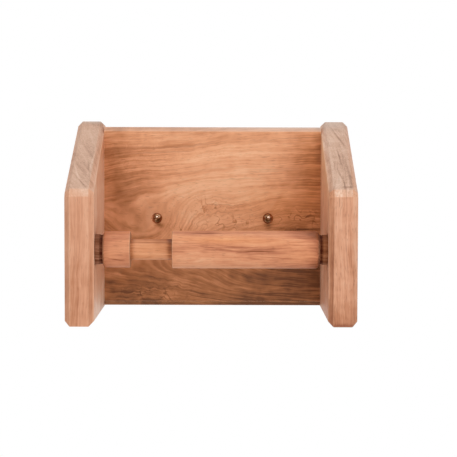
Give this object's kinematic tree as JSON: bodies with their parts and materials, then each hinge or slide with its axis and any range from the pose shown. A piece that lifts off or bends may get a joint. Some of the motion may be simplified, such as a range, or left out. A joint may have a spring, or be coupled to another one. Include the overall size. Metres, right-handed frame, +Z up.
{
  "type": "toilet roll holder",
  "caption": "Wall-mounted wooden toilet roll holder: bevelled side boards with sloping tops, a back board, and a sprung telescoping roller whose end pins sit in blind sockets.",
  "frame": {"origin": "on the wall plane, halfway between the two wall screws", "axes": "+Z up, +Y into the wall, so the front faces -Y; +X to the right as seen from the front"},
  "size_m": [0.1588, 0.1142, 0.1111],
  "materials": {
    "oiled_teak_boards": "planed teak, oiled, satin",
    "turned_teak": "turned and sanded teak, oiled, satin",
    "teak_plugs": "cross-grain plugs, sanded flush and oiled",
    "dark_hardwood": "dark stained hardwood, worn to a dull sheen",
    "bronzed_brass": "darkened brass, polished dome",
    "spring_steel": "drawn spring wire",
    "screw_steel": "plated steel"
  },
  "bodies": {
    "frame": {"left_side": "oiled_teak_boards", "right_side": "oiled_teak_boards", "back_board": "oiled_teak_boards", "left_wall_screw": "bronzed_brass", "right_wall_screw": "bronzed_brass", "left_upper_screw": "screw_steel", "left_lower_screw": "screw_steel", "right_upper_screw": "screw_steel", "right_lower_screw": "screw_steel", "left_upper_plug": "teak_plugs", "left_lower_plug": "teak_plugs", "right_upper_plug": "teak_plugs", "right_lower_plug": "teak_plugs"},
    "roller": {"roller_tube": "turned_teak", "right_end_pin": "dark_hardwood", "spring": "spring_steel"},
    "plunger": {"plunger_cap": "turned_teak", "plunger_shaft": "turned_teak", "left_end_pin": "dark_hardwood"}
  },
  "joints": [
    {"name": "roller_spin", "type": "hinge", "parent": "frame", "child": "roller", "pos_m": [0, -0.0747, -0.0136], "axis": [1, 0, 0], "continuous": true},
    {"name": "plunger_slide", "type": "slide", "parent": "roller", "child": "plunger", "axis": [1, 0, 0], "range_m": [0, 0.0225], "stiffness_N_per_m": 400, "springref_m": -0.02, "deforming": ["spring"]}
  ]
}
